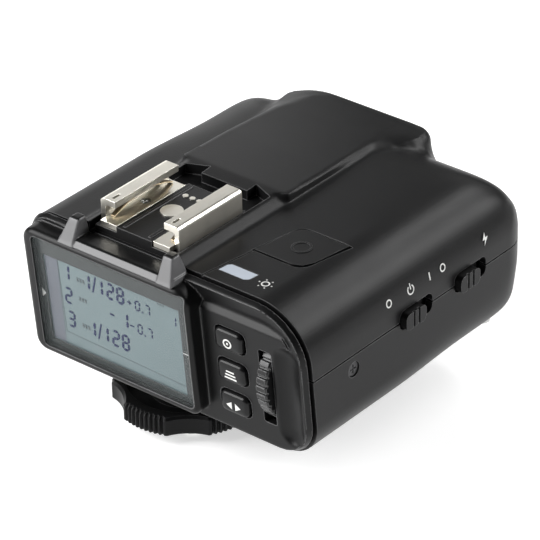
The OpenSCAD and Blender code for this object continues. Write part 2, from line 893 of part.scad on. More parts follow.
module usb_port() {
  gap = 0.1;
  sheet = 0.6;
  color("#bdbdbd") difference() {
    span([body_left + 0.4, port_y[0] + gap, port_z[0] + gap], [-20.4, port_y[1] - gap, port_z[1] - gap]);
    span([-40, port_y[0] + sheet, port_z[0] + sheet], [-21, port_y[1] - sheet, port_z[1] - sheet]);
  }
}

module lamp_lens() {
  color([0.45, 0.05, 0.06, 0.85])
    along_y(body_rear - 1, body_rear + 0.3)
      round_rect(0.05 - lamp_x, lamp_z[0] + 0.05, lamp_x - 0.05, lamp_z[1] - 0.05, [1.4, 1.4, 1.4, 1.4]);
}

module lamp_led() {
  color("#e8e4d8") {
    translate([0, body_rear - 1.4, 37.8]) rotate([90, 0, 0]) cylinder(h = 4, r = 2.5);
    span([-4, body_rear - 6.6, 34.5], [4, body_rear - 5.4, 41]);
  }
}

// ---- Fasteners ----

module side_screws() {
  color("#3d3d40") for (side = [0, 1]) {
    x = side ? body_left : body_right;
    translate([x, side_screw[0], side_screw[1]]) mirror([side, 0, 0]) difference() {
      union() {
        translate([-0.85, 0, 0]) rotate([0, 90, 0]) cylinder(h = 0.55, r = 1.6);
        translate([-5, 0, 0]) rotate([0, 90, 0]) cylinder(h = 4.2, r = 0.95);
      }
      span([-0.55, -1, -0.2], [1, 1, 0.2]);
      span([-0.55, -0.2, -1], [1, 0.2, 1]);
    }
  }
}

module case_screws() {
  color("#8d8d90") for (spot = post_spots)
    translate([spot[0], spot[1], 0]) difference() {
      union() {
        translate([0, 0, body_bottom + 1.2]) cylinder(h = 1.6, r = 1.9);
        translate([0, 0, body_bottom + 2.7]) cylinder(h = 24, r = 0.8);
      }
      span([-1.2, -0.22, 0], [1.2, 0.22, body_bottom + 1.8]);
      span([-0.22, -1.2, 0], [0.22, 1.2, body_bottom + 1.8]);
    }
}

upper_shell();
lower_shell();
front_panel();
shoe_guard();
display_window();
window_border();
display_glass();
display_frame();
display_backlight();
shoe_rails();
shoe_base();
shoe_springs();
shoe_contacts();
shoe_screws();
status_window();
status_led();
test_button();
test_switch();
key_top();
key_middle();
key_bottom();
key_switches();
key_board();
select_dial();
dial_axle();
dial_encoder();
power_slider();
power_switch();
lamp_slider();
lamp_switch();
main_board();
radio_module();
antenna();
microchips();
battery_tray();
battery_cells();
battery_springs();
battery_plates();
battery_door();
foot_plate();
foot_nut();
contact_block();
contact_pins();
contact_springs();
friction_plate();
lock_ring();
sync_socket();
usb_port();
lamp_lens();
lamp_led();
side_screws();
case_screws();
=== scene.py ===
import math

import bmesh
import bpy
import numpy as np
from mathutils import Matrix, Vector


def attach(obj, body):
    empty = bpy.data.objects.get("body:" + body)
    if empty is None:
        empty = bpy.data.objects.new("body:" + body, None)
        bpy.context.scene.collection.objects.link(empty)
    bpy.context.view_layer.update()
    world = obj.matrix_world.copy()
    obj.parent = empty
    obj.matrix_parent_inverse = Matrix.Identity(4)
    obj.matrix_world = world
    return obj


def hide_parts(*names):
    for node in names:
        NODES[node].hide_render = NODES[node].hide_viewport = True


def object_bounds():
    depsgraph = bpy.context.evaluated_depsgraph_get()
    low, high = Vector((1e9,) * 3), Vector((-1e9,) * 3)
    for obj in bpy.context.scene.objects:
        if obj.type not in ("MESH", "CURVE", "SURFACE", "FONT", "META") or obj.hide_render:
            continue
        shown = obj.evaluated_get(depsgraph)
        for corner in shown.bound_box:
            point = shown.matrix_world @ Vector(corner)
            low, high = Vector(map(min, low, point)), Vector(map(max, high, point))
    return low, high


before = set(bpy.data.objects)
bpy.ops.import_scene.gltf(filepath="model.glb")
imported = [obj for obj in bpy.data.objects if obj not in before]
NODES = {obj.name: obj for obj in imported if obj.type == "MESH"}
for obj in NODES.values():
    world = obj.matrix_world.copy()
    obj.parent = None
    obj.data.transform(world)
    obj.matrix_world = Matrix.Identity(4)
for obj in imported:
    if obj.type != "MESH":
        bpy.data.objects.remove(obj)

CAD_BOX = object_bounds()

MM = 0.001

# Sizes are in mm, in the row frame, unless a comment says otherwise.

# The front panel leans. Its own frame has X to the right, W up from its top front edge and the
# depth behind the display.
PANEL_LEAN = math.radians(5.2)
PANEL_Y = -21.75
PANEL_Z = 44.6
PANEL_DEPTH = 5.9
KEY_PLANE = 3.9
RIM_INSET = 1.25
RIM_TAPER = 1.9
RIM_FALL = 0.304
RIM_GAP = 0.45
DISPLAY_LOW = (-25.9, -31)
DISPLAY_HIGH = (19.1, 0)
WINDOW_LOW = (-23.2, -29.2)
WINDOW_HIGH = (18.2, -1.3)
VIEW_LOW = (-22.45, -28.6)
VIEW_HIGH = (17.25, -2)
SCOOP_X = 41.1
SCOOP_DEPTH = 0.3
SCOOP_R = 4.8

# Casing
BODY_LEFT = -27.3
BODY_RIGHT = 46.0
BODY_LOW = 10.6
BODY_TOP = 46.6
BODY_REAR = 60.5
WALL = 1.8
SEAM_Z = 30.8
SEAM_GAP = 0.3
SHELL_STEP = 0.5
CORNER_BLUR = 3.0
SECTION_RADII = (6.5, 9, 12.5, 6)
SHOULDER_R = SECTION_RADII[2]
SPINE_OVER = 0.35
BASE_Z = 9.3
STEM_HOLE_R = 6.65
POST_SPOTS = ((-22.2, -6), (39.5, 4), (-22.2, 49), (40, 50))
POST_R = 2.6
SCREW_R = 1.25
SCREW_HEAD_R = 2.1
SIDE_SCREW = (-1.5, 27.4)
SIDE_SCREW_R = 1.75
DOOR_X = (-19, 37.2)
DOOR_Y = 20.3
DOOR_TOP = 27
DOOR_GAP = 0.15
DOOR_GRIPS = 5

# Flash shoe, its pocket and the guard in front of it
DECK_Z = 46.0
SHOE_Y = -3.3
POCKET_X = 11.5
POCKET_BACK = 13.3
GUARD_Z = 44.65
GUARD_TOP = 50.05
GUARD_HALF = 15.4

# Controls
KEY_X = 26.6
KEY_W = (-10.4, -18.3, -26.2)
KEY_SIZE = (7.4, 5.0)
DIAL_X = 35.5
DIAL_W = -18.7
DIAL_R = 10.8
DIAL_DEPTH = 12.4
DIAL_RIBS = 36
RING_R = 16.35
RING_FIRST = 309.5
TEST_CORNER = (20.9, -1.9)
TEST_SIZE = (12.6, 12.5)
TEST_SKEW = 8
TEST_GAP = 0.5
POWER_Y = 19.1
LAMP_Y = 37.6
SLOT_LONG = 11
SLOT_HIGH = 4.6

# Rear lamp window and the sockets in the left face
LAMP_X = 9
LAMP_Z = (33, 42.5)
SYNC_Y, SYNC_Z, SYNC_R = 24, 27, 3.1
PORT_LOW = (-60, 34, 25.4)
PORT_HIGH = (-20, 42.4, 29.4)

# Reach of the cutters that only bound a piece
FAR = 90
HALF_SPACE = [(-FAR, -FAR), (FAR, -FAR), (FAR, FAR), (-FAR, FAR)]

# Camera place in metres, and its lens for a 36 mm sensor
CAMERA_PLACE = Vector((0.41551, -0.46631, 0.40794))
CAMERA_AZIMUTH = math.radians(40.076)
CAMERA_ELEVATION = math.radians(31.007)
CAMERA_ROLL = math.radians(-1.235)
CAMERA_LENS = 233.33


# ---- Camera, light and floor ----

def make_camera():
    """Long lens from the front right, looking down, with a slight roll."""
    a, e, r = CAMERA_AZIMUTH, CAMERA_ELEVATION, CAMERA_ROLL
    back = Vector((math.sin(a) * math.cos(e), -math.cos(a) * math.cos(e), math.sin(e)))
    level = Vector((math.cos(a), math.sin(a), 0))
    upright = back.cross(level)
    right = math.cos(r) * level + math.sin(r) * upright
    up = math.cos(r) * upright - math.sin(r) * level
    data = bpy.data.cameras.new("camera")
    data.lens = CAMERA_LENS
    data.sensor_width = 36
    data.clip_start = 0.01
    camera = bpy.data.objects.new("camera", data)
    turn = Matrix((right, up, back)).transposed()
    camera.matrix_world = Matrix.Translation(CAMERA_PLACE) @ turn.to_4x4()
    bpy.context.scene.collection.objects.link(camera)
    bpy.context.scene.camera = camera


def softbox(name, direction, distance, width, height, power, aim=(0.01, 0.015, 0.03)):
    """Rectangular light that looks at aim from a direction."""
    data = bpy.data.lights.new(name, "AREA")
    data.shape = "RECTANGLE"
    data.size = width
    data.size_y = height
    data.energy = power
    lamp = bpy.data.objects.new(name, data)
    away = Vector(direction).normalized()
    lamp.location = Vector(aim) + away * distance
    lamp.rotation_mode = "QUATERNION"
    lamp.rotation_quaternion = away.to_track_quat("Z", "Y")
    bpy.context.scene.collection.objects.link(lamp)


def make_studio():
    """Dim white surroundings and five soft lights. Each has its direction, distance, width, height
    and power."""
    scene = bpy.context.scene
    scene.view_settings.view_transform = "Standard"
    world = bpy.data.worlds.new("studio")
    world.use_nodes = True
    world.node_tree.nodes["Background"].inputs[0].default_value = (1, 1, 1, 1)
    world.node_tree.nodes["Background"].inputs[1].default_value = 0.03
    scene.world = world
    softbox("back_left", (-0.9, 0.55, 0.38), 0.30, 0.22, 0.14, 0.18)
    softbox("back_right", (0.6, 0.6, 0.45), 0.60, 0.30, 0.20, 1.7)
    softbox("shoulder", (0.27, 0.66, 0.70), 0.60, 0.30, 0.08, 1.1)
    softbox("front_left", (-0.55, -0.66, 0.52), 0.60, 0.35, 0.48, 5.0)
    softbox("rear", (-0.15, 0.85, 0.5), 0.60, 0.40, 0.25, 0.25)


def make_floor():
    """Pale paper, just under the object. Its size is in metres."""
    mesh = bpy.data.meshes.new("floor")
    half = 3.0
    low = CAD_BOX[0].z - 0.2 * MM
    corners = [(-half, -half, low), (half, -half, low), (half, half, low), (-half, half, low)]
    mesh.from_pydata(corners, [], [(0, 1, 2, 3)])
    floor = bpy.data.objects.new("floor", mesh)
    bpy.context.scene.collection.objects.link(floor)
    made = bpy.data.materials.new("floor_paper")
    made.use_nodes = True
    shader = made.node_tree.nodes["Principled BSDF"]
    shader.inputs["Base Color"].default_value = (0.80, 0.80, 0.80, 1)
    shader.inputs["Roughness"].default_value = 0.9
    shader.inputs["Emission Color"].default_value = (1, 1, 1, 1)
    shader.inputs["Emission Strength"].default_value = 0.58
    mesh.materials.append(made)


# ---- Materials ----

def material(name, tone, rough, metal=0.0, grain=0.0, grain_size=0.35, mottle=0.1, wear_and_highlight=0.25,
             edge=0.12, coat=0.0, alpha=1.0, transmission=0.0, specular=0.5, streak=None):
    """Moulded or metal finish. grain is the depth in mm of a fine texture whose cells are
    grain_size mm across, mottle the spread of tone and roughness over centimetres,
    wear_and_highlight how much edges lighten (a little wear at small values, a painted highlight
    along the edges at large ones), edge the radius in mm over which they do. streak stretches the
    grain on an axis."""
    made = bpy.data.materials.new(name)
    made.use_nodes = True
    tree = made.node_tree
    shader = tree.nodes["Principled BSDF"]
    new, link = tree.nodes.new, tree.links.new
    place = new("ShaderNodeTexCoord").outputs["Object"]
    broad = new("ShaderNodeTexNoise")
    broad.inputs["Scale"].default_value = 70.0
    broad.inputs["Detail"].default_value = 4.0
    broad.inputs["Roughness"].default_value = 0.65
    link(place, broad.inputs["Vector"])
    # edges: where the rounded normal leaves the true one
    rounded = new("ShaderNodeBevel")
    rounded.samples = 4
    rounded.inputs["Radius"].default_value = edge * MM
    flat = new("ShaderNodeNewGeometry")
    agree = new("ShaderNodeVectorMath")
    agree.operation = "DOT_PRODUCT"
    link(rounded.outputs[0], agree.inputs[0])
    link(flat.outputs["Normal"], agree.inputs[1])
    at_edge = new("ShaderNodeMapRange")
    at_edge.inputs["From Min"].default_value = 0.995
    at_edge.inputs["From Max"].default_value = 0.80
    link(agree.outputs["Value"], at_edge.inputs["Value"])
    # painted highlight: the edge mask, scaled by the broad noise. Small weights give a little wear,
    # large ones paint bright lines where edges would catch the light
    wear_and_highlight_mask = new("ShaderNodeMath")
    wear_and_highlight_mask.operation = "MULTIPLY"
    link(at_edge.outputs[0], wear_and_highlight_mask.inputs[0])
    link(broad.outputs["Fac"], wear_and_highlight_mask.inputs[1])
    # tone
    low = [c * (1 - mottle) for c in tone]
    high = [min(1.0, c * (1 + mottle)) for c in tone]
    ramp = new("ShaderNodeValToRGB")
    ramp.color_ramp.elements[0].position = 0.3
    ramp.color_ramp.elements[0].color = (*low, 1)
    ramp.color_ramp.elements[1].position = 0.7
    ramp.color_ramp.elements[1].color = (*high, 1)
    link(broad.outputs["Fac"], ramp.inputs[0])
    # mixes the tone towards a lighter one along the edges: wear at small weights, a painted
    # highlight at large ones
    lighter = new("ShaderNodeMix")
    lighter.data_type = "RGBA"
    wear_and_highlight_tone = [min(1.0, c * (1 + 3 * wear_and_highlight) + 0.05 * wear_and_highlight) for c in tone]
    lighter.inputs[7].default_value = (*wear_and_highlight_tone, 1)
    link(wear_and_highlight_mask.outputs[0], lighter.inputs[0])
    link(ramp.outputs[0], lighter.inputs[6])
    link(lighter.outputs[2], shader.inputs["Base Color"])
    # roughness
    spread = new("ShaderNodeMapRange")
    spread.inputs["To Min"].default_value = max(0.02, rough * (1 - 1.2 * mottle))
    spread.inputs["To Max"].default_value = min(1.0, rough * (1 + 1.2 * mottle))
    link(broad.outputs["Fac"], spread.inputs["Value"])
    link(spread.outputs[0], shader.inputs["Roughness"])
    # relief: the rounded normal, with the grain on it
    link(rounded.outputs[0], shader.inputs["Normal"])
    if grain:
        fine = new("ShaderNodeTexNoise")
        fine.inputs["Scale"].default_value = 1 / (grain_size * MM)
        fine.inputs["Detail"].default_value = 2.0
        source = place
        if streak:
            stretch = new("ShaderNodeMapping")
            stretch.inputs["Scale"].default_value = streak
            link(place, stretch.inputs["Vector"])
            source = stretch.outputs[0]
        link(source, fine.inputs["Vector"])
        bump = new("ShaderNodeBump")
        bump.inputs["Distance"].default_value = grain * MM
        bump.inputs["Strength"].default_value = 1.0
        link(fine.outputs["Fac"], bump.inputs["Height"])
        link(rounded.outputs[0], bump.inputs["Normal"])
        link(bump.outputs[0], shader.inputs["Normal"])
    shader.inputs["Metallic"].default_value = metal
    shader.inputs["Specular IOR Level"].default_value = specular
    shader.inputs["Coat Weight"].default_value = coat
    shader.inputs["Coat Roughness"].default_value = 0.12
    shader.inputs["Alpha"].default_value = alpha
    shader.inputs["Transmission Weight"].default_value = transmission
    return made


def make_materials():
    black = (0.0062, 0.0062, 0.0065)
    m = {}
    # The large edge weights on the black plastics paint bright highlight lines along their edges.
    m["case"] = material("case_black", black, 0.38, grain=0.020, grain_size=0.30, specular=0.2,
                         wear_and_highlight=4, edge=0.3)
    m["panel"] = material("panel_black", black, 0.34, grain=0.008, grain_size=0.25, specular=0.2,
                          wear_and_highlight=8, edge=0.35)
    m["guard"] = material("guard_grey", (0.12, 0.12, 0.123), 0.38, grain=0.006, grain_size=0.25)
    m["window"] = material("window_clear", (0.25, 0.28, 0.28), 0.10, mottle=0.02, wear_and_highlight=0.0,
                           alpha=0.08, specular=0.3)
    m["border"] = material("window_border", (0.016, 0.019, 0.020), 0.3, mottle=0.06, wear_and_highlight=0.0)
    m["lcd_side"] = material("liquid_crystal_side", (0.11, 0.12, 0.15), 0.3, mottle=0.08, wear_and_highlight=0.0)
    m["lcd"] = material("liquid_crystal", (0.135, 0.192, 0.205), 0.28, mottle=0.05, wear_and_highlight=0.0,
                        coat=0.2)
    m["segment"] = material("segment_ink", (0.003, 0.006, 0.070), 0.6, mottle=0.1, wear_and_highlight=0.0,
                            specular=0.2)
    m["pale_ink"] = material("pale_ink", (0.05, 0.07, 0.08), 0.35, mottle=0.1, wear_and_highlight=0.0)
    m["print"] = material("white_print", (0.78, 0.78, 0.76), 0.5, mottle=0.08, wear_and_highlight=0.0)
    m["white"] = material("white_plastic", (0.75, 0.75, 0.71), 0.45, grain=0.005, wear_and_highlight=0.0)
    m["nickel"] = material("nickel_plate", (0.82, 0.79, 0.71), 0.30, metal=1.0, grain=0.002,
                           grain_size=0.5, streak=(1, 0.15, 1), mottle=0.08, wear_and_highlight=0.1)
    # rougher, streaked metal for the rails' upright faces; its darker tone is painted shade
    m["brushed"] = material("brushed_nickel", (0.50, 0.48, 0.43), 0.55, metal=1.0, grain=0.004,
                            grain_size=0.5, streak=(1, 0.15, 1), mottle=0.12, wear_and_highlight=0.1)
    m["spring"] = material("spring_steel", (0.27, 0.22, 0.15), 0.40, metal=1.0, grain=0.002,
                           grain_size=0.4, mottle=0.12, wear_and_highlight=0.1)
    m["gold"] = material("gold_plate", (0.83, 0.62, 0.26), 0.22, metal=1.0, grain=0.002,
                         mottle=0.08)
    m["steel"] = material("zinc_steel", (0.55, 0.55, 0.54), 0.32, metal=1.0, grain=0.003,
                          mottle=0.12)
    m["black_steel"] = material("blackened_steel", (0.05, 0.05, 0.052), 0.38, metal=0.7,
                                grain=0.004)
    m["foot"] = material("foot_metal", (0.58, 0.58, 0.56), 0.34, metal=1.0, grain=0.004,
                         grain_size=0.5, streak=(0.2, 1, 1), mottle=0.1)
    m["brass"] = material("brass", (0.62, 0.49, 0.24), 0.32, metal=1.0, grain=0.004)
    m["lens"] = material("status_lens", (0.50, 0.55, 0.62), 0.22, mottle=0.05, wear_and_highlight=0.0, coat=0.3)
    m["led"] = material("led_epoxy", (0.8, 0.79, 0.7), 0.15, mottle=0.03, wear_and_highlight=0.0)
    m["button"] = material("button_black", black, 0.38, grain=0.008, grain_size=0.25,
                           specular=0.2, wear_and_highlight=6)
    m["key"] = material("key_rubber", black, 0.26, grain=0.004, grain_size=0.2, specular=0.24,
                        wear_and_highlight=9)
    m["dial"] = material("dial_black", black, 0.38, grain=0.006, grain_size=0.25, specular=0.14,
                         wear_and_highlight=3)
    m["wheel"] = material("wheel_black", black, 0.30, grain=0.006, grain_size=0.25, specular=0.45,
                          wear_and_highlight=9, edge=0.2)
    m["switch"] = material("switch_grey", (0.28, 0.28, 0.28), 0.45, grain=0.006)
    m["board"] = material("solder_mask", (0.02, 0.12, 0.06), 0.30, grain=0.01, grain_size=1.2,
                          mottle=0.25, coat=0.4)
    m["chip"] = material("moulded_epoxy", (0.018, 0.018, 0.02), 0.55, grain=0.01, grain_size=0.15)
    m["encoder"] = material("encoder_blue", (0.06, 0.14, 0.30), 0.45, grain=0.006)
    m["cell"] = material("cell_wrap", (0.10, 0.12, 0.15), 0.30, mottle=0.15, coat=0.3)
    m["red"] = material("red_lens", (0.10, 0.004, 0.006), 0.10, mottle=0.05, wear_and_highlight=0.0, coat=0.5)
    return m


FINISH = {
    "case": ("upper_shell", "lower_shell", "battery_door", "shoe_base", "battery_tray"),
    "panel": ("front_panel",),
    "guard": ("shoe_guard",),
    "window": ("display_window",),
    "border": ("window_border",),
    "lcd": ("display_glass",),
    "white": ("display_frame", "display_backlight"),
    "nickel": ("shoe_rails", "shoe_contacts", "battery_plates"),
    "spring": ("shoe_springs", "battery_springs", "contact_springs"),
    "gold": ("contact_pins", "antenna"),
    "steel": ("shoe_screws", "case_screws", "dial_axle", "usb_port"),
    "black_steel": ("side_screws",),
    "foot": ("foot_plate",),
    "brass": ("foot_nut",),
    "lens": ("status_window",),
    "led": ("status_led", "lamp_led"),
    "button": ("test_button", "power_slider", "lamp_slider"),
    "key": ("key_top", "key_middle", "key_bottom"),
    "dial": ("lock_ring", "friction_plate"),
    "wheel": ("select_dial",),
    "switch": ("test_switch", "key_switches", "power_switch", "lamp_switch"),
    "board": ("main_board", "key_board", "radio_module"),
    "chip": ("microchips", "contact_block", "sync_socket"),
    "encoder": ("dial_encoder",),
    "cell": ("battery_cells",),
    "red": ("lamp_lens",),
}


def finish_cad_nodes(m):
    """One finish for each CAD node. The upright faces of the shoe's rails get a rougher, streaked
    finish whose darker tone is painted shade.
    """
    for name, nodes in FINISH.items():
        for node in nodes:
            mesh = NODES[node].data
            mesh.materials.clear()
            mesh.materials.append(m[name])
    # the rails' upright faces: streaked and rougher, and darker as painted shade
    rails = NODES["shoe_rails"].data
    rails.materials.append(m["brushed"])
    for face in rails.polygons:
        face.material_index = int(abs(face.normal.x) > 0.9)


# ---- Smooth shells from distance fields ----

def lattice(low, high, step):
    """Axes of a regular grid of points, in mm."""
    return [np.arange(low[i], high[i] + step, step) for i in range(3)]


def blurred(field, sigma, step):
    """Gaussian blur, which rounds every edge of a distance field. Trims the border it spoils."""
    reach = int(round(3 * sigma / step))
    offsets = np.arange(-reach, reach + 1)
    weights = np.exp(-0.5 * (offsets * step / sigma) ** 2)
    weights /= weights.sum()
    for axis in range(3):
        length = field.shape[axis] - 2 * reach
        field = sum(w * field.take(range(reach + o, reach + o + length), axis)
                    for o, w in zip(offsets, weights))
    return field


def surface_net(field, low, step):
    """Vertices and quads of the surface where a field on a grid is zero."""
    size = np.array(field.shape)
    inside = field < 0
    place = np.zeros((*(size - 1), 3))
    count = np.zeros(size - 1)
    crossings = []
    for axis in range(3):
        first = [slice(None)] * 3
        second = [slice(None)] * 3
        first[axis], second[axis] = slice(0, -1), slice(1, None)
        a, b = field[tuple(first)], field[tuple(second)]
        crossed = inside[tuple(first)] != inside[tuple(second)]
        index = np.argwhere(crossed)
        share = a[crossed] / (a[crossed] - b[crossed])
        points = index.astype(float)
        points[:, axis] += share
        others = [i for i in range(3) if i != axis]
        for da in (0, 1):
            for db in (0, 1):
                cell = index.copy()
                cell[:, others[0]] -= da
                cell[:, others[1]] -= db
                ok = np.all((cell >= 0) & (cell < size - 1), axis=1)
                np.add.at(place, tuple(cell[ok].T), points[ok])
                np.add.at(count, tuple(cell[ok].T), 1)
        crossings.append((axis, others, index, inside[tuple(first)][crossed]))
    used = count > 0
    number = -np.ones(size - 1, int)
    number[used] = np.arange(used.sum())
    vertices = place[used] / count[used][:, None] * step + np.array(low)
    quads = []
    for axis, others, index, solid_first in crossings:
        ring = []
        for da, db in ((1, 1), (0, 1), (0, 0), (1, 0)):
            cell = index.copy()
            cell[:, others[0]] -= da
            cell[:, others[1]] -= db
            ring.append(cell)
        ok = np.all([np.all((c >= 0) & (c < size - 1), axis=1) for c in ring], axis=0)
        corners = np.stack([number[tuple(c[ok].T)] for c in ring], 1)
        turned = solid_first[ok] ^ (axis == 1)
        corners[~turned] = corners[~turned][:, ::-1]
        quads.append(corners)
    return vertices, np.concatenate(quads)


def round_both(a, b, r):
    """Intersection of two fields whose shared edge has radius r."""
    a, b = a + r, b + r
    return np.minimum(np.maximum(a, b), 0) + np.hypot(np.maximum(a, 0), np.maximum(b, 0)) - r


def melt(a, b, k):
    """Union of two fields with a fillet of size k."""
    return np.minimum(a, b) - np.maximum(k - np.abs(a - b), 0) ** 2 / (4 * k)


def plate_field(u, v, low, high, radii):
    """Distance to a rectangle with its own radius at each corner: low-left, low-right,
    high-right, high-left."""
    du, dv = u - (low[0] + high[0]) / 2, v - (low[1] + high[1]) / 2
    r = np.where(dv < 0, np.where(du < 0, radii[0], radii[1]), np.where(du < 0, radii[3], radii[2]))
    qu = np.abs(du) - (high[0] - low[0]) / 2 + r
    qv = np.abs(dv) - (high[1] - low[1]) / 2 + r
    return np.minimum(np.maximum(qu, qv), 0) + np.hypot(np.maximum(qu, 0), np.maximum(qv, 0)) - r


def section_field(x, z):
    """The casing's outline in front view."""
    return plate_field(x, z, (BODY_LEFT, BODY_LOW), (BODY_RIGHT, BODY_TOP), SECTION_RADII)


def body_field(x, y, z):
    """The casing without its spine: front section, plan and side view, intersected."""
    section = section_field(x, z)
    plan = plate_field(x, y, (BODY_LEFT, -60), (BODY_RIGHT, BODY_REAR), (1, 1, 9, 9))
    side = plate_field(y, z, (-60, BODY_LOW), (BODY_REAR, BODY_TOP), (1, 9, 14.7, 1))
    return np.maximum(np.maximum(section, plan), side)


def spine_field(x, y, z):
    """The raised spine: a ramp behind the shoe, a falling top, and sides that flare out at the
    rear. Beside the shoe its sides are the two sloping bands."""
    top = np.interp(y, [13.3, 17, 31, 46, 61], [48.3, 48.6, 48.3, 47.8, 47.3])
    wide_top = np.interp(y, [15.7, 16.9, 31, 46, 50, 55, 61],
                         [11.9, 14.3, 14.15, 13.3, 13.5, 14.3, 15.2])
    wide_foot = np.interp(y, [40, 46, 48, 50, 52, 54, 56, 61],
                          [14.6, 14.5, 14.8, 15.4, 16.6, 17.6, 18.1, 18.3])
    rise = np.clip((z - BODY_TOP) / (top - BODY_TOP), 0, 1.3)
    lean_right = np.interp(y, [46, 61], [0, 1.9])
    side = (np.abs(x - lean_right) - wide_foot - (wide_top - wide_foot) * rise) * 0.8
    edge = np.interp(y, [20, 46, 57], [0.35, 0.6, 3.0])
    corner = np.interp(y, [40, 50], [0.1, 1]) * np.where(x > 0, 3.5, 6.5)
    return round_both(z - top, round_both(side, y - BODY_REAR - SPINE_OVER, corner), edge)


def ease(value, low, high):
    """0 below low, 1 above high, smooth between."""
    share = np.clip((value - low) / (high - low), 0, 1)
    return share * share * (3 - 2 * share)


def soft_body(low, high, upper):
    """Grid and field of the casing, with the corners between its round edges blurred at the rear,
    above the seam or below it."""
    step = SHELL_STEP
    margin = 3 * CORNER_BLUR
    x, y, z = lattice([v - margin for v in low], [v + margin for v in high], step)
    reach = int(round(margin / step))
    trim = (slice(reach, -reach),) * 3
    gx, gy, gz = np.meshgrid(x, y, z, indexing="ij")
    sharp = body_field(gx, gy, gz)
    soft = blurred(sharp, CORNER_BLUR, step)
    gx, gy, gz = gx[trim], gy[trim], gz[trim]
    height = ease(gz, 33, 40) if upper else 1 - ease(gz, 19, 27)
    body = sharp[trim] + (soft - sharp[trim]) * height * ease(gy, 15, 38)
    return gx, gy, gz, body, np.array((x[reach], y[reach], z[reach]))


def meshed(name, field, low, step, finish, place=None):
    """Piece around a field whose grid starts at low. place moves its vertices to the row frame."""
    low = np.array(low)
    vertices, quads = surface_net(np.pad(field, 1, constant_values=step), low - step, step)
    if place:
        vertices = place(vertices)
    return piece_from(name, vertices, quads, finish)


def piece_from(name, vertices, faces, finish, smooth=True):
    """New mesh object, from vertices in mm."""
    mesh = bpy.data.meshes.new(name)
    corners = [tuple(int(i) for i in face) for face in faces]
    mesh.from_pydata([Vector(v) * MM for v in vertices], [], corners)
    mesh.validate()
    mesh.materials.append(MATERIALS[finish])
    if smooth:
        mesh.shade_smooth()
    piece = bpy.data.objects.new(name, mesh)
    bpy.context.scene.collection.objects.link(piece)
    return piece


def arc(cx, cy, r, start, end, steps=8):
    """Points of an arc, in degrees."""
    turn = [math.radians(start + (end - start) * i / steps) for i in range(steps + 1)]
    return [(cx + r * math.cos(t), cy + r * math.sin(t)) for t in turn]


def circle(cx, cy, r):
    """Outline of a circle."""
    return arc(cx, cy, r, 0, 345, 23)


def round_plate(x0, y0, x1, y1, r, steps=6):
    """Outline of a rectangle with round corners."""
    return (arc(x0 + r, y0 + r, r, 180, 270, steps) + arc(x1 - r, y0 + r, r, 270, 360, steps)
            + arc(x1 - r, y1 - r, r, 0, 90, steps) + arc(x0 + r, y1 - r, r, 90, 180, steps))


def prism(outline, low, high, frame_of=None):
    """Vertices and faces of an outline drawn up from low to high, in mm."""
    n = len(outline)
    vertices = [Vector((x, y, end)) for end in (low, high) for x, y in outline]
    if frame_of:
        vertices = [frame_of(v) for v in vertices]
    faces = [tuple(reversed(range(n))), tuple(range(n, 2 * n))]
    faces += [(i, (i + 1) % n, n + (i + 1) % n, n + i) for i in range(n)]
    return vertices, faces


def on_panel(v):
    """From the panel's frame (X, W up the panel, depth) to the row frame, in mm."""
    lean_y = v.z * math.cos(PANEL_LEAN) - v.y * math.sin(PANEL_LEAN)
    lean_z = v.z * math.sin(PANEL_LEAN) + v.y * math.cos(PANEL_LEAN)
    return Vector((v.x, PANEL_Y + lean_y, PANEL_Z + lean_z))


def from_right(v):
    """From a drawing of the right face (Y, Z, X) to the row frame."""
    return Vector((v.z, v.x, v.y))


def from_front(v):
    """From a drawing of the front (X, Z, Y) to the row frame."""
    return Vector((v.x, v.z, v.y))


def set_outward(piece):
    """Turns every face of a closed piece outwards."""
    fix = bmesh.new()
    fix.from_mesh(piece.data)
    bmesh.ops.recalc_face_normals(fix, faces=fix.faces)
    fix.to_mesh(piece.data)
    fix.free()


def cut(piece, cutters):
    """Takes each cutter, a pair of vertices and faces, out of a piece."""
    for vertices, faces in cutters:
        tool = piece_from("cutter", vertices, faces, "case", smooth=False)
        set_outward(tool)
        knife = piece.modifiers.new("cut", "BOOLEAN")
        knife.operation = "DIFFERENCE"
        knife.solver = "MANIFOLD"
        knife.object = tool
        apply_modifiers(piece)
        bpy.data.objects.remove(tool)
    return piece


def apply_modifiers(piece):
    """Replaces a piece's mesh by what its modifiers make of it."""
    graph = bpy.context.evaluated_depsgraph_get()
    shape = bpy.data.meshes.new_from_object(piece.evaluated_get(graph))
    old = piece.data
    piece.modifiers.clear()
    piece.data = shape
    shape.name = old.name
    bpy.data.meshes.remove(old)


def crease(piece, angle=35):
    """Smooth shading that breaks at edges sharper than an angle in degrees."""
    piece.data.shade_smooth()
    piece.data.set_sharp_from_angle(angle=math.radians(angle))


def stand_for(piece, body, slot, *nodes):
    """The piece moves with a body and may take the place of CAD nodes. slot is not used."""
    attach(piece, body)
    if nodes:
        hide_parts(*nodes)
    return piece


def test_plan(margin):
    """Outline of the test button, drawn outwards by a margin."""
    lean = math.tan(math.radians(TEST_SKEW))
    x0, y0 = TEST_CORNER[0] - margin, TEST_CORNER[1] - margin
    w, d = TEST_SIZE[0] + 2 * margin, TEST_SIZE[1] + 2 * margin
    front = arc(x0 + w - 3.2, y0 + 3.2, 3.2, 270, 350, 6)
    back = [(x0 + w + lean * d, y0 + d)]
    left = arc(x0 + 3.0 + lean * d, y0 + d - 3.0, 3.0, 90, 170, 6)
    return [(x0, y0)] + front + back + left


def status_plan(margin):
    """Outline of the status window, with one cut corner, drawn outwards by a margin."""
    m = margin
    return [(20 - m, -12.3 - m), (26.6, -12.3 - m), (27.5 + m, -11.6), (27.8 + m, -9.1 + m),
            (21, -9.1 + m), (20.3 - m, -9.8)]


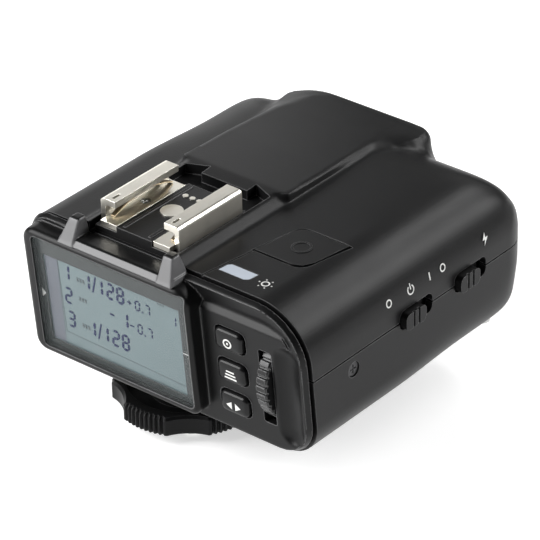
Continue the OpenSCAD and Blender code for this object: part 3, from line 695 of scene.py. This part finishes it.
def side_slot(mid_y):
    """Cutter for a slide switch's slot in the right face."""
    half, high, mid_z = SLOT_LONG / 2, SLOT_HIGH / 2, SEAM_Z + 0.2
    outline = round_plate(mid_y - half, mid_z - high, mid_y + half, mid_z + high, 1.6)
    return prism(outline, 40, 60, from_right)


def block(low, high):
    """Cutter from low corner to high corner."""
    return prism([(low[0], low[1]), (high[0], low[1]), (high[0], high[1]), (low[0], high[1])],
                 low[2], high[2])


def shell_openings():
    """Cutters for the openings in the right, left and rear faces. Both shells take them all."""
    lamp_window = round_plate(-LAMP_X, LAMP_Z[0], LAMP_X, LAMP_Z[1], 1.5)
    return [
        side_slot(POWER_Y), side_slot(LAMP_Y),
        prism(circle(SYNC_Y, SYNC_Z, SYNC_R), -60, -20, from_right),
        block(PORT_LOW, PORT_HIGH),
        prism(lamp_window, 50, 70, from_front),
    ]


def make_upper_shell():
    """Upper shell with its spine, hollow, with a pocket for the flash shoe."""
    x, y, z, body, low = soft_body((BODY_LEFT - 1, -18, 29), (BODY_RIGHT + 1, BODY_REAR + 2, 50),
                                   upper=True)
    fillet = np.interp(y, [42, 56], [0.3, 4.5])
    field = np.maximum(melt(body, spine_field(x, y, z), fillet), y - BODY_REAR - SPINE_OVER)
    # a thick deck is left under the flash shoe
    deck = np.maximum(np.maximum(np.abs(x) - 13.1, y - 17.7), DECK_Z - WALL - z)
    cavity = np.maximum(field + WALL, -deck)
    piece = meshed("upper_shell_visual", np.maximum(field, -cavity), low, SHELL_STEP, "case")
    notch = [(6.2, POCKET_BACK), (6.2, 16.3), (POCKET_X, 14.3)]
    pocket = [(-POCKET_X, -40), (POCKET_X, -40)] + notch[::-1] + [(-u, v) for u, v in notch]
    groove = [(18.5, -17), (18.85, -17), (21.15, -1.9), (20.8, -1.9)]
    cut(piece, [
        block((-FAR, -FAR, -FAR), (FAR, FAR, SEAM_Z + SEAM_GAP / 2 + 0.05)),
        prism(HALF_SPACE, -FAR, PANEL_DEPTH + 0.1, on_panel),
        prism(pocket, DECK_Z, 60),
        prism(test_plan(TEST_GAP), 20, 60),
        prism(status_plan(0.05), 20, 60),
        prism(groove, BODY_TOP - 0.5, 50),
        prism(circle(0, SHOE_Y, 2.55), 40, 60),
    ] + shell_openings())
    crease(piece, 30)
    return stand_for(piece, "housing", "case_black", "upper_shell")


def make_lower_shell():
    """Lower shell and battery door, from one form."""
    x, y, z, body, low = soft_body((BODY_LEFT - 1, -18, 8), (BODY_RIGHT + 1, BODY_REAR + 1, 33),
                                   upper=False)
    shell = np.maximum(body, -body - WALL)
    base = np.maximum(np.hypot(x, y) - 12.6, np.maximum(BASE_Z - z, z - BODY_LOW - 1))
    lower = np.minimum(shell, base)
    for px, py in POST_SPOTS:
        post = np.maximum(np.hypot(x - px, y - py) - POST_R, BODY_LOW + 0.9 - z)
        lower = np.minimum(lower, np.maximum(post, body + 0.5))
    seam = block((-FAR, -FAR, SEAM_Z - SEAM_GAP / 2 - 0.05), (FAR, FAR, FAR))
    panel = prism(HALF_SPACE, -FAR, PANEL_DEPTH + 0.1, on_panel)
    gap = DOOR_GAP
    piece = meshed("lower_shell_visual", lower, low, SHELL_STEP, "case")
    tools = [seam, panel, prism(arc(0, 0, STEM_HOLE_R, 0, 350, 35), 0, 30),
             block((DOOR_X[0] - gap, DOOR_Y - gap, 0), (DOOR_X[1] + gap, FAR, DOOR_TOP + gap))]
    for px, py in POST_SPOTS:
        tools.append(prism(circle(px, py, SCREW_R), 0, 40))
        tools.append(prism(circle(px, py, SCREW_HEAD_R), 0, BODY_LOW + 2.9))
    for face in (BODY_LEFT, BODY_RIGHT):
        tools.append(prism(circle(*SIDE_SCREW, SIDE_SCREW_R), face - 0.9, face + 0.9, from_right))
    cut(piece, tools + shell_openings())
    crease(piece, 30)
    stand_for(piece, "housing", "case_black", "lower_shell")

    door = meshed("battery_door_visual", shell, low, SHELL_STEP, "case")
    tools = [block((-FAR, -FAR, -FAR), (DOOR_X[0] + gap, FAR, FAR)),
             block((DOOR_X[1] - gap, -FAR, -FAR), (FAR, FAR, FAR)),
             block((-FAR, -FAR, -FAR), (FAR, DOOR_Y + gap, FAR)),
             block((-FAR, -FAR, DOOR_TOP - gap), (FAR, FAR, FAR))]
    tools += [block((2, 24 + 2 * i, 0), (16, 24.8 + 2 * i, BODY_LOW + 0.4))
              for i in range(DOOR_GRIPS)]
    cut(door, tools)
    crease(door, 30)
    stand_for(door, "battery_door", "case_black", "battery_door")


# ---- Front panel and shoe guard ----

def panel_point(x, w, depth):
    """Row-frame coordinates of points in the panel's frame, for arrays."""
    y = PANEL_Y + depth * math.cos(PANEL_LEAN) - w * math.sin(PANEL_LEAN)
    z = PANEL_Z + depth * math.sin(PANEL_LEAN) + w * math.cos(PANEL_LEAN)
    return x, y, z


def half_plane(u, v, start, end):
    """Distance to the left of the line from start to end. Negative on its right."""
    du, dv = end[0] - start[0], end[1] - start[1]
    return ((v - start[1]) * du - (u - start[0]) * dv) / math.hypot(du, dv)


def front_panel_field(x, w, d):
    """Front panel in its own frame: rim, key area, display block and a lip inside the shells."""
    _, _, z = panel_point(x, w, d)
    section = section_field(x, z)
    back = d - (PANEL_DEPTH - RIM_GAP)
    # rim: a tapered edge around a face that falls back towards the key area
    inset = np.interp(x, [-20, 10], [0.5, RIM_INSET])
    taper = (RIM_TAPER * (section + inset) + KEY_PLANE - d) * 0.47
    fall = KEY_PLANE + RIM_FALL * np.clip(-section - inset, 0, 4.2) - d
    rim = np.maximum(taper, fall)
    # key area, with a slope along its top and a scoop for the thumb at its right
    top = (w + 5.1 - (d - KEY_PLANE)) / math.sqrt(2)
    right = np.maximum(-half_plane(x, w, (45.2, -16), (41.5, -6.4)),
                       -half_plane(x, w, (41.5, -6.4), (37.6, 0)))
    keys = np.maximum(np.maximum(KEY_PLANE - d, top), np.maximum(right, taper))
    keys = np.maximum(keys, 15 - x)
    scoop = np.hypot(np.hypot(x - SCOOP_X, d - SCOOP_DEPTH), w - np.clip(w, -28, -10)) - SCOOP_R
    # display block with soft front edges
    display = plate_field(x, w, DISPLAY_LOW, DISPLAY_HIGH, (3, 2, 4.2, 3))
    display = round_both(display, -d, 1.3)
    front = melt(np.minimum(rim, keys), display, 0.5)
    front = np.maximum(np.maximum(front, -scoop), back)
    lip = np.maximum(np.maximum(section + WALL + 0.15, -section - WALL - 1.2),
                     np.maximum(4.9 - d, d - PANEL_DEPTH - 1.8))
    return np.minimum(front, lip)


def from_panel(vertices):
    """Moves an array of vertices from the panel's frame to the row frame."""
    return np.stack(panel_point(*vertices.T), 1)


def make_front_panel():
    """Front panel, meshed in its own frame, with its window, dial and key openings."""
    step = 0.3
    low = (BODY_LEFT - 0.8, -37.5, -0.8)
    grid = lattice(low, (BODY_RIGHT + 0.8, 4, 8.6), step)
    field = front_panel_field(*np.meshgrid(*grid, indexing="ij"))
    piece = meshed("front_panel_visual", field, low, step, "panel", from_panel)
    set_outward(piece)
    seat_back = PANEL_Y + PANEL_DEPTH - 0.3
    dial_slot = round_plate(DIAL_X - 1.65, DIAL_W - 9, DIAL_X + 1.65, DIAL_W + 9, 0.6)
    tools = [
        prism(round_plate(*WINDOW_LOW, *WINDOW_HIGH, 1.2), -2, 1.6, on_panel),
        prism(round_plate(*VIEW_LOW, *VIEW_HIGH, 1), 1, 20, on_panel),
        prism(dial_slot, 2, 20, on_panel),
        prism([(-15.45, -40), (15.45, -40), (15.45, 0), (-15.45, 0)], PANEL_Z + 0.02, 80),
        prism([(-15.6, seat_back), (15.6, seat_back), (15.6, 0), (-15.6, 0)], 43.9, 80),
    ]
    tools += [prism(key_outline(middle, 0.35), -2, 20, on_panel) for middle in KEY_W]
    cut(piece, tools)
    crease(piece, 32)
    return stand_for(piece, "housing", "panel_black", "front_panel")


def make_guard():
    """U-shaped guard in front of the flash shoe: a bar with two leaning prongs. Faces that look up
    are black; the others are grey, a painted reflection of the light in front."""
    step = 0.22
    low, high = (-16.2, -22.6, 43.8), (16.2, -15.2, 51)
    x, y, z = np.meshgrid(*lattice(low, high, step), indexing="ij")
    across = np.abs(x)
    front_edge = (-21.7, GUARD_Z)
    back = PANEL_Y + PANEL_DEPTH - 0.25
    slope = half_plane(y, z, front_edge, (-20.45, DECK_Z))
    rail = round_both(np.maximum(slope, across - GUARD_HALF), z - DECK_Z, 0.25)
    rail = np.maximum(rail, y - back)
    lean = half_plane(y, z, front_edge, (-19.1, 50.1))
    outer = -half_plane(across, z, (GUARD_HALF, GUARD_Z), (13.9, 50.1))
    prong = round_both(np.maximum(outer, 11.3 - across), lean, 0.35)
    behind = y - back + np.clip(z - 46.7, 0, 4) * 0.24
    prong = round_both(prong, np.maximum(z - GUARD_TOP, behind), 0.45)
    field = np.maximum(melt(rail, prong, 0.3), GUARD_Z - z)
    piece = meshed("shoe_guard_visual", field, low, step, "guard")
    crease(piece, 40)
    # grey on every face but those that look up: a painted reflection of the light in front
    piece.data.materials.append(MATERIALS["panel"])
    for face in piece.data.polygons:
        face.material_index = int(face.normal.z > 0.75)
    return stand_for(piece, "housing", "guard_grey", "shoe_guard")


# ---- Keys ----

def key_outline(middle, margin):
    """Outline of the key at a height on the panel, drawn outwards by a margin."""
    w, h = KEY_SIZE[0] / 2 + margin, KEY_SIZE[1] / 2 + margin
    return round_plate(KEY_X - w, middle - h, KEY_X + w, middle + h, max(0.5, 1.4 + margin))


def stack(outlines):
    """Vertices and faces of a solid through outlines with equal numbers of points. Each is a pair
    of points and depth."""
    n = len(outlines[0][0])
    vertices = [Vector((x, y, depth)) for points, depth in outlines for x, y in points]
    faces = []
    for level in range(len(outlines) - 1):
        a, b = level * n, (level + 1) * n
        faces += [(a + i, a + (i + 1) % n, b + (i + 1) % n, b + i) for i in range(n)]
    last = (len(outlines) - 1) * n
    faces += [tuple(reversed(range(n))), tuple(range(last, last + n))]
    return vertices, faces


def make_key(name, middle):
    """Rubber key. The profile is a list of margins and depths."""
    profile = [(0.7, 6.6), (0.7, 5.95), (0, 5.9), (0, 3.95), (-0.05, 3.6), (-0.2, 3.25),
               (-0.5, 3.02), (-0.9, 2.93), (-1.5, 2.88)]
    vertices, faces = stack([(key_outline(middle, margin), depth) for margin, depth in profile])
    piece = piece_from(name + "_visual", [on_panel(v) for v in vertices], faces, "key")
    set_outward(piece)
    crease(piece, 40)
    return stand_for(piece, name, "key_black", name)


def thin_print(name, plates, finish, body, slot, place=None):
    """Flat printed marks as one piece. Each plate is an outline with its low and high depth."""
    vertices, faces = [], []
    for outline, low, high in plates:
        more, sides = prism(outline, low, high, place)
        faces += [tuple(i + len(vertices) for i in side) for side in sides]
        vertices += more
    piece = piece_from(name, vertices, faces, finish, smooth=False)
    set_outward(piece)
    return stand_for(piece, body, slot)


def bar(x, y, wide, high, slant=0.0):
    """Small upright bar around a middle."""
    w, h = wide / 2, high / 2
    return [(x - w - slant * h, y - h), (x + w - slant * h, y - h), (x + w + slant * h, y + h),
            (x - w + slant * h, y + h)]


def ring_bars(x, y, r, wide, start=0, end=360, parts=20):
    """A ring or part of one, as short plates."""
    inner = arc(x, y, r - wide / 2, start, end, parts)
    outer = arc(x, y, r + wide / 2, start, end, parts)
    return [[inner[i], outer[i], outer[i + 1], inner[i + 1]] for i in range(parts)]


def key_marks():
    """Generic marks on the keys: a ring with a dot, a stack of bars and two arrows."""
    y = KEY_W[0]
    marks = {"key_top": ring_bars(KEY_X, y - 0.35, 0.95, 0.36) + [bar(KEY_X, y - 0.35, 0.5, 0.5)]}
    y = KEY_W[1] - 0.35
    marks["key_middle"] = [bar(KEY_X, y + k * 0.8, 2.6 - 0.5 * k, 0.36) for k in (-1, 0, 1)]
    y = KEY_W[2] - 0.35
    marks["key_bottom"] = []
    for s in (-1, 1):
        arrow = [(KEY_X + s * 0.45, y - 0.9), (KEY_X + s * 1.9, y), (KEY_X + s * 0.45, y + 0.9)]
        marks["key_bottom"].append(arrow[::s])
    for key, plates in marks.items():
        thin_print(key + "_mark", [(plate, 2.83, 2.9) for plate in plates], "print", key,
                   "white_plastic", on_panel)


# ---- Display ----

SEGMENTS = {"0": "abcdef", "1": "bc", "2": "abged", "3": "abgcd", "7": "abc", "8": "abcdefg"}


def digit(char, x, w, wide, high, stroke, slant=0.07):
    """Plates of a seven-segment digit whose middle is at x, w."""
    a, b, gap = wide / 2, high / 2, 0.1
    level = {"a": b, "g": 0, "d": -b}
    upright = {"f": (-a, 0, b), "b": (a, 0, b), "e": (-a, -b, 0), "c": (a, -b, 0)}
    h = stroke / 2
    plates = []
    for name in SEGMENTS[char]:
        if name in level:
            y = level[name]
            ends = [(-a + gap, y), (-a + gap + h, y + h), (a - gap - h, y + h), (a - gap, y),
                    (a - gap - h, y - h), (-a + gap + h, y - h)]
        else:
            across, foot, head = upright[name]
            foot, head = foot + gap, head - gap
            ends = [(across, foot), (across + h, foot + h), (across + h, head - h), (across, head),
                    (across - h, head - h), (across - h, foot + h)]
        plates.append([(x + px + slant * pw, w + pw) for px, pw in ends][::-1])
    return plates


def make_display_marks():
    """Seven-segment numbers and bars in three rows, as on any flash controller."""
    ink = []
    for char, w in (("1", -8.75), ("2", -14.75), ("3", -20.8)):
        ink += digit(char, -15.8, w, 1.6, 3.7, 0.55)
    for w in (-9.0, -20.9):
        ink.append(bar(-7.95, w, 0.42, 4.2, 0.28))
        for char, x in (("1", -10.2), ("1", -6.6), ("2", -3.5), ("8", -0.8)):
            ink += digit(char, x, w, 1.6, 3.7, 0.6)
    for w, sign in ((-9.7, "+"), (-15.6, "-")):
        ink += digit("0", 3.8, w, 1.1, 2.3, 0.36) + digit("7", 6.5, w, 1.1, 2.3, 0.36)
        ink += [bar(5.05, w - 1.15, 0.36, 0.36), bar(1.6, w, 1.1, 0.3)]
        if sign == "+":
            ink.append(bar(1.6, w, 0.3, 1.0))
    ink += digit("1", -0.2, -14.9, 1.2, 3.7, 0.6) + [bar(-3.8, -14.9, 1.2, 0.42)]
    ink += digit("1", 13.7, -9.7, 0.8, 2.3, 0.3)
    thin_print("display_numbers", [(plate, 1.69, 1.76) for plate in ink], "segment", "housing",
               "display", on_panel)
    pale = [bar(x, w, 0.5, 1.0) for w in (-9.5, -14.4, -21.2) for x in (-12.6, -11.8, -11.0)]
    pale += [bar(x, -6.9, 0.4, 0.45) for x in (9.6, 10.3, 11.0)]
    pale.append([(-17.75, -24.6), (-17.65, -24.6), (-17.75, -6.4), (-17.85, -6.4)])
    pale.append([(-17.7, -24.7), (15.3, -25.6), (15.3, -25.5), (-17.7, -24.6)])
    thin_print("display_lines", [(plate, 1.70, 1.76) for plate in pale], "pale_ink", "housing",
               "display", on_panel)
    margin = [(-21.6, -27.6), (-18.2, -27.6), (-17.9, -6.2), (-21.6, -6.2)]
    thin_print("display_margin", [(margin, 1.72, 1.76)], "lcd_side", "housing", "display", on_panel)
    on_window = [[(-23.1, -17.5), (-22.0, -16.3), (-23.1, -15.2)], bar(16.4, -16.6, 1.5, 0.16)]
    thin_print("window_marks", [(plate, 1.31, 1.36) for plate in on_window], "print", "housing",
               "window_print", on_panel)


# ---- Turned pieces with teeth ----

def turned(name, steps, profile, place, finish):
    """Closed ring through a profile. profile gives the loop of (radius, height) at an angle."""
    angles = [360 * i / steps for i in range(steps)]
    loops = [profile(angle) for angle in angles]
    n = len(loops[0])
    vertices = [place(angle, r, h) for angle, loop in zip(angles, loops) for r, h in loop]
    faces = []
    for i in range(steps):
        a, b = i * n, (i + 1) % steps * n
        faces += [(a + k, a + (k + 1) % n, b + (k + 1) % n, b + k) for k in range(n)]
    piece = piece_from(name, vertices, faces, finish)
    set_outward(piece)
    crease(piece, 28)
    return piece


def make_lock_ring():
    """Ring with five lobes. Each lobe is ribbed and the rim between two is cut away in an arc."""
    lobe, pitch, cut_r = 72, 4.1, 11.4
    centre = RING_R - 1.55 + cut_r

    def profile(angle):
        off = (angle - RING_FIRST + lobe / 2) % lobe - lobe / 2
        across = centre * math.sin(math.radians(off))
        r = RING_R
        if abs(across) < cut_r:
            r = min(r, centre * math.cos(math.radians(off)) - math.sqrt(cut_r ** 2 - across ** 2))
        tooth = (angle - RING_FIRST) % lobe - lobe / 2
        if abs(tooth) < 4.5 * pitch:
            near = abs((tooth / pitch + 0.5) % 1 - 0.5) * 2
            r -= 0.62 * max(0.0, 1 - near * 1.25)
        return [(r - 0.25, 2.0), (r, 2.3), (r, 5.75), (r - 0.55, 6.4), (13.4, 6.4), (13.4, 4.4),
                (8.6, 4.4), (8.6, 6.0), (6.56, 6.0), (6.56, 3.0), (13.3, 3.0), (13.3, 2.0)]

    def place(angle, r, h):
        return Vector((r * math.cos(math.radians(angle)), r * math.sin(math.radians(angle)), h))

    piece = turned("lock_ring_visual", 702, profile, place, "dial")
    return stand_for(piece, "lock_ring", "dial_black", "lock_ring")


def make_dial():
    """Ribbed wheel that stands a little out of the panel."""
    half = 1.4

    def profile(angle):
        near = abs((angle / (360 / DIAL_RIBS)) % 1 - 0.5) * 2
        r = DIAL_R - 0.5 * min(1.0, max(0.0, near - 0.62) * 5)
        return [(r - 0.35, -half), (r, 0.35 - half), (r, half - 0.35), (r - 0.35, half),
                (1.56, half), (1.56, -half)]

    def place(angle, r, h):
        a = math.radians(angle)
        w, depth = DIAL_W + r * math.sin(a), DIAL_DEPTH + r * math.cos(a)
        return on_panel(Vector((DIAL_X + h, w, depth)))

    piece = turned("select_dial_visual", DIAL_RIBS * 12, profile, place, "wheel")
    return stand_for(piece, "select_dial", "dial_black", "select_dial")


# ---- Printed marks on the casing ----

def shoulder_x(z):
    """X of the casing's right face, which curves in above its middle."""
    rise = max(0.0, z - (BODY_TOP - SHOULDER_R))
    return BODY_RIGHT - SHOULDER_R + math.sqrt(SHOULDER_R ** 2 - rise ** 2)


def on_side(v):
    """From a drawing on the right face (Y, Z, height above it) to the row frame."""
    return Vector((shoulder_x(v.y) + v.z, v.x, v.y))


def make_side_marks():
    """Generic marks beside the slide switches and the status window."""
    plates = []
    for y in (10.4, 28.4):
        plates += ring_bars(y, 37.0, 0.75, 0.3)
    plates += ring_bars(17.6, 36.9, 0.95, 0.3, 125, 415)
    plates.append(bar(17.6, 37.6, 0.3, 1.3))
    plates.append(bar(24.0, 37.0, 0.34, 1.7))
    plates.append([(43.2, 38.4), (42.2, 36.9), (43.0, 36.9), (42.6, 35.6), (44.0, 37.3),
                   (43.2, 37.3)])
    thin_print("side_marks", [(plate, -0.02, 0.04) for plate in plates], "print", "housing",
               "white_plastic", on_side)
    lamp = ring_bars(31.2, -11.0, 0.8, 0.3)
    lamp += [bar(31.2 + 1.55 * math.cos(a), -11.0 + 1.55 * math.sin(a), 0.3, 0.3)
             for a in [math.radians(60 * k) for k in range(6)]]
    thin_print("status_mark", [(plate, BODY_TOP - 0.02, BODY_TOP + 0.04) for plate in lamp],
               "print", "housing", "white_plastic")


make_camera()
make_studio()
make_floor()
MATERIALS = make_materials()
finish_cad_nodes(MATERIALS)
make_upper_shell()
make_lower_shell()
make_front_panel()
make_guard()
for key_name, key_middle in zip(("key_top", "key_middle", "key_bottom"), KEY_W):
    make_key(key_name, key_middle)
key_marks()
make_display_marks()
make_side_marks()
make_lock_ring()
make_dial()
test_ring = ring_bars(28, 4.4, 2.0, 0.5)
thin_print("test_mark", [(plate, BODY_TOP + 0.08, BODY_TOP + 0.2) for plate in test_ring],
           "button", "test_button", "button_black")
